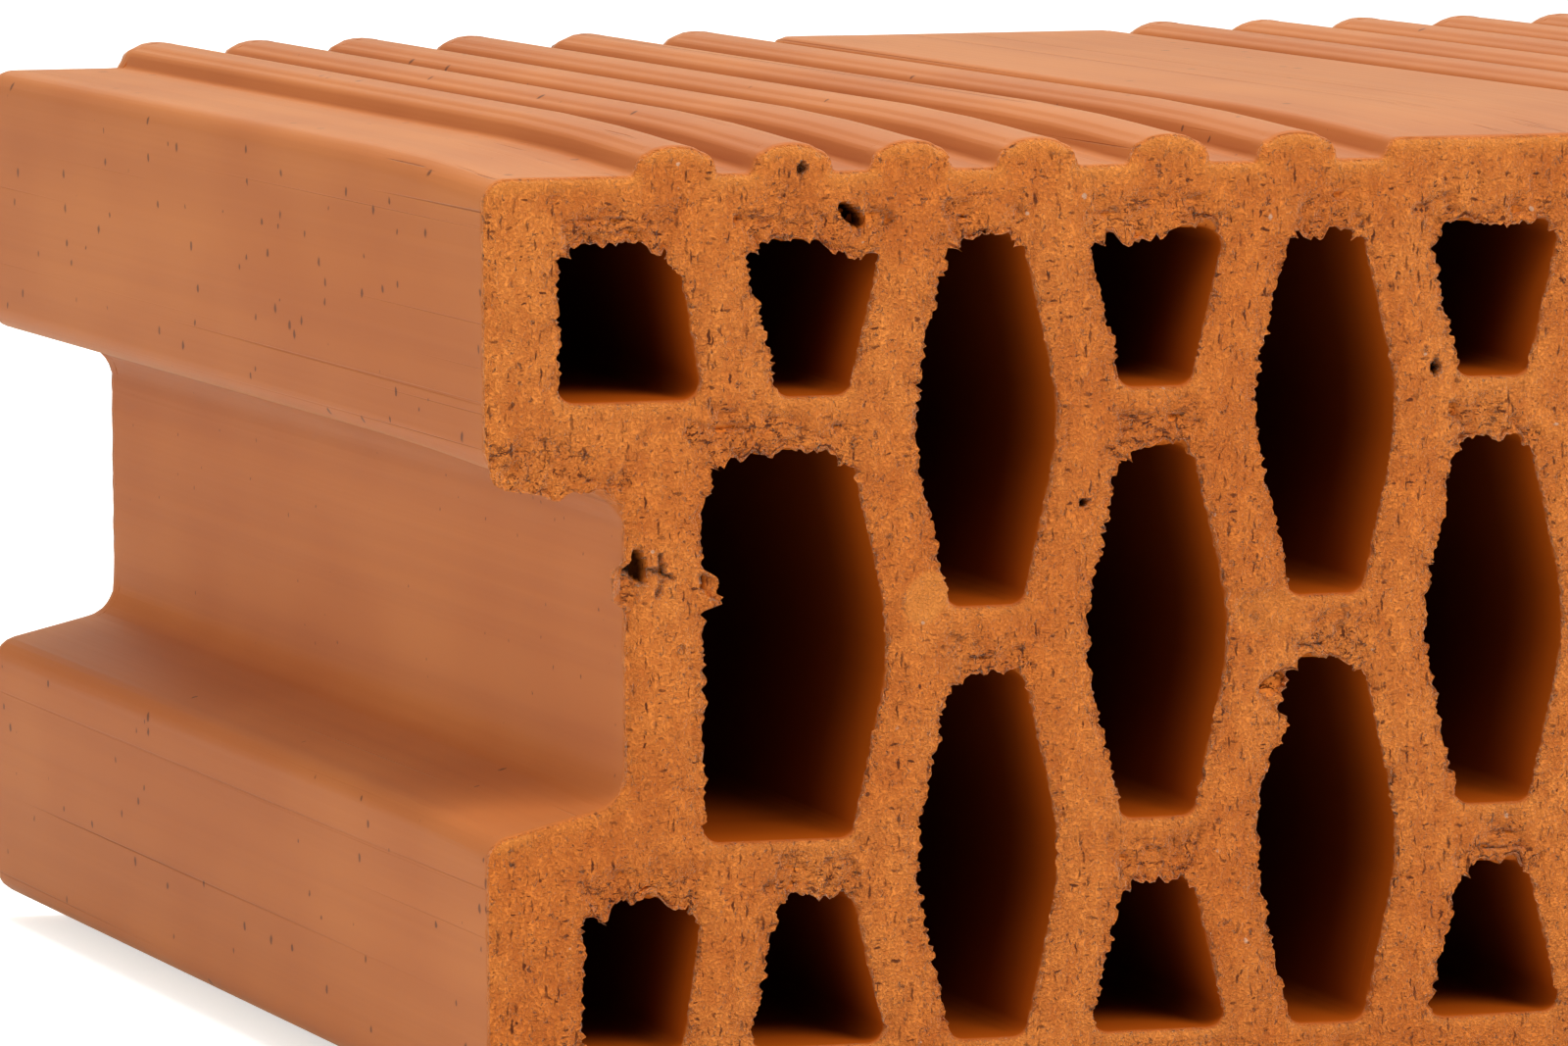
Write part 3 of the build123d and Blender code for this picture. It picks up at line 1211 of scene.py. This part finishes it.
@dataclass(frozen=True)
class Softbox:
    """A softbox that faces the block, by its direction from it."""

    name: str
    azimuth_deg: float
    height_deg: float
    distance_m: float
    width_m: float
    height_m: float
    watts: float
    colour: str = "#FFFFFF"

    def hang(self, aim: Vector) -> None:
        """Hangs the softbox so that it faces the point aimed at."""
        azimuth, height = math.radians(self.azimuth_deg), math.radians(self.height_deg)
        away = Vector((
            math.sin(azimuth) * math.cos(height),
            -math.cos(azimuth) * math.cos(height),
            math.sin(height),
        ))
        data = bpy.data.lights.new(self.name, "AREA")
        data.shape, data.energy = "RECTANGLE", self.watts
        data.size, data.size_y = self.width_m, self.height_m
        data.color = linear_colour(self.colour)[:3]
        lamp = bpy.data.objects.new(self.name, data)
        bpy.context.scene.collection.objects.link(lamp)
        lamp.rotation_euler = (-away).to_track_quat("-Z", "Y").to_euler()
        lamp.location = aim + away * self.distance_m


@dataclass
class Studio:
    """A white sweep under plain soft light, and the camera that took the picture."""

    lens_mm: float = 266.5
    sensor_mm: float = 36.0
    azimuth_deg: float = -17.32
    tilt_deg: float = 5.072
    roll_deg: float = -0.35
    camera_mm: tuple[float, float, float] = (-610.2, -1365.0, 186.5)
    floor_half_m: float = 6.0
    floor_colour: str = "#EFEEEC"
    floor_glow: float = 0.6
    horizon: float = 0.03
    zenith: float = 0.55
    zenith_from: float = 0.6
    background: float = 1.0
    aim_m: tuple[float, float, float] = (-0.1, -0.05, 0.06)
    clip_m: tuple[float, float] = (0.05, 60.0)
    softboxes: tuple[Softbox, ...] = (
        Softbox("left_softbox", -66.0, 20.0, 2.4, 2.0, 1.2, 13.0, "#FFF1C4"),
        Softbox("side_softbox", -105.0, 20.0, 2.4, 1.2, 1.2, 7.0, "#FFF1BC"),
        Softbox("front_softbox", 12.0, 50.0, 2.4, 1.0, 1.0, 48.0, "#FFFDF4"),
        Softbox("top_softbox", 170.0, 75.0, 2.3, 1.5, 1.5, 32.0, "#E2FAFF"),
        Softbox("right_softbox", 105.0, 25.0, 2.4, 1.3, 1.3, 12.0),
        Softbox("rear_softbox", 165.0, 22.0, 2.5, 1.2, 1.2, 6.5, "#F4FFEE"),
    )

    def build(self) -> None:
        """Makes the floor, the lights, the world and the camera."""
        self.floor()
        self.world()
        for softbox in self.softboxes:
            softbox.hang(Vector(self.aim_m))
        self.camera()
        bpy.context.scene.view_settings.view_transform = "Standard"

    def floor(self) -> None:
        """A pale floor that shows white to the camera and keeps the block's shadow."""
        deselect_all()
        bpy.ops.mesh.primitive_plane_add(size=2 * self.floor_half_m)
        floor = bpy.context.object
        floor.name = "studio_floor"
        paint = bpy.data.materials.new("matt_white_sweep")
        paint.use_nodes = True
        tree = paint.node_tree
        tree.nodes.clear()
        matt = add_node(
            tree, "BsdfDiffuse", {}, {"Color": linear_colour(self.floor_colour)}
        )
        glow = add_node(tree, "Emission", {}, {"Strength": self.floor_glow})
        lit = add_node(tree, "AddShader", {}, {0: matt.outputs[0], 1: glow.outputs[0]})
        seen = add_node(tree, "LightPath").outputs["Is Camera Ray"]
        both = add_node(
            tree, "MixShader", {}, {0: seen, 1: matt.outputs[0], 2: lit.outputs[0]}
        )
        add_node(tree, "OutputMaterial", {}, {"Surface": both.outputs[0]})
        floor.data.materials.append(paint)

    def world(self) -> None:
        """Soft light, brighter overhead, and plain white where the camera looks past."""
        world = bpy.data.worlds.new("white_studio")
        bpy.context.scene.world = world
        world.use_nodes = True
        tree = world.node_tree
        tree.nodes.clear()
        way = add_node(tree, "TexCoord").outputs["Generated"]
        height = add_node(tree, "SeparateXYZ", {}, {0: way}).outputs["Z"]
        soft = add_node(
            tree, "MapRange", {"interpolation_type": "SMOOTHSTEP"},
            {"Value": height, "From Min": 0.0, "From Max": self.zenith_from,
             "To Min": self.horizon, "To Max": self.zenith},
        ).outputs[0]
        path = add_node(tree, "LightPath")
        shown = add_node(
            tree, "Math", {"operation": "MAXIMUM"},
            {0: path.outputs["Is Camera Ray"], 1: path.outputs["Is Transmission Ray"]},
        ).outputs[0]
        strength = add_node(
            tree, "MapRange", {},
            {"Value": shown, "To Min": soft, "To Max": self.background},
        ).outputs[0]
        light = add_node(
            tree, "Background", {}, {"Color": (1.0, 1.0, 1.0, 1.0), "Strength": strength}
        )
        add_node(tree, "OutputWorld", {}, {"Surface": light.outputs[0]})

    def camera(self) -> None:
        """Sets the camera at the photograph's place, angle and focal length."""
        azimuth, tilt, roll = (
            math.radians(d) for d in (self.azimuth_deg, self.tilt_deg, self.roll_deg)
        )
        ahead = Vector((
            -math.sin(azimuth) * math.cos(tilt),
            math.cos(azimuth) * math.cos(tilt),
            -math.sin(tilt),
        ))
        level = Vector((math.cos(azimuth), math.sin(azimuth), 0.0))
        above = level.cross(ahead)
        right = level * math.cos(roll) + above * math.sin(roll)
        up = above * math.cos(roll) - level * math.sin(roll)
        turned = Matrix((right, up, -ahead)).transposed().to_4x4()
        data = bpy.data.cameras.new("photograph")
        data.lens, data.sensor_width = self.lens_mm, self.sensor_mm
        data.clip_start, data.clip_end = self.clip_m
        camera = bpy.data.objects.new("photograph", data)
        bpy.context.scene.collection.objects.link(camera)
        place = Vector(self.camera_mm) * MM
        camera.matrix_world = Matrix.Translation(place) @ turned
        bpy.context.scene.camera = camera


def report(piece: Piece) -> None:
    """Logs a piece's size in faces."""
    log.info("%s: %d faces", piece.name, len(piece.data.polygons))


def main() -> None:
    """Builds the block's looks piece by piece, and the studio round it."""
    logging.basicConfig(level=logging.INFO, format="%(message)s")
    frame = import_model()
    cad = frame["nodes"][CAD_NODE]
    Studio().build()
    stock = Stock(cad, Block.packed(), Ribs.of(cad), Droop())
    drawn = ClayFinishes.of("fired_clay_as_extruded", with_cut_face=False)
    torn = ClayFinishes.of("fired_clay_extruded_wire_cut", with_cut_face=True)
    report(ExtrudedBody().build(stock, drawn))
    from_x, to_x = stock.block.low[0], stock.block.high[0]
    stops = (from_x, *SEAMS_MM)
    for name, start, stop in zip(("left", "middle", "right"), stops, stops[1:]):
        cut = WireCut(
            f"front_cut_{name}", CutEnd.FRONT, start, stop, FINE_VOXEL_MM, FACE_SCARS
        )
        report(cut.build(stock, torn))
    for cut in (
        WireCut("front_cut_far", CutEnd.FRONT, SEAMS_MM[-1], to_x, 0.9),
        WireCut("back_cut", CutEnd.BACK, from_x, to_x, 1.2),
    ):
        report(cut.build(stock, torn))


if __name__ == "__main__":
    main()
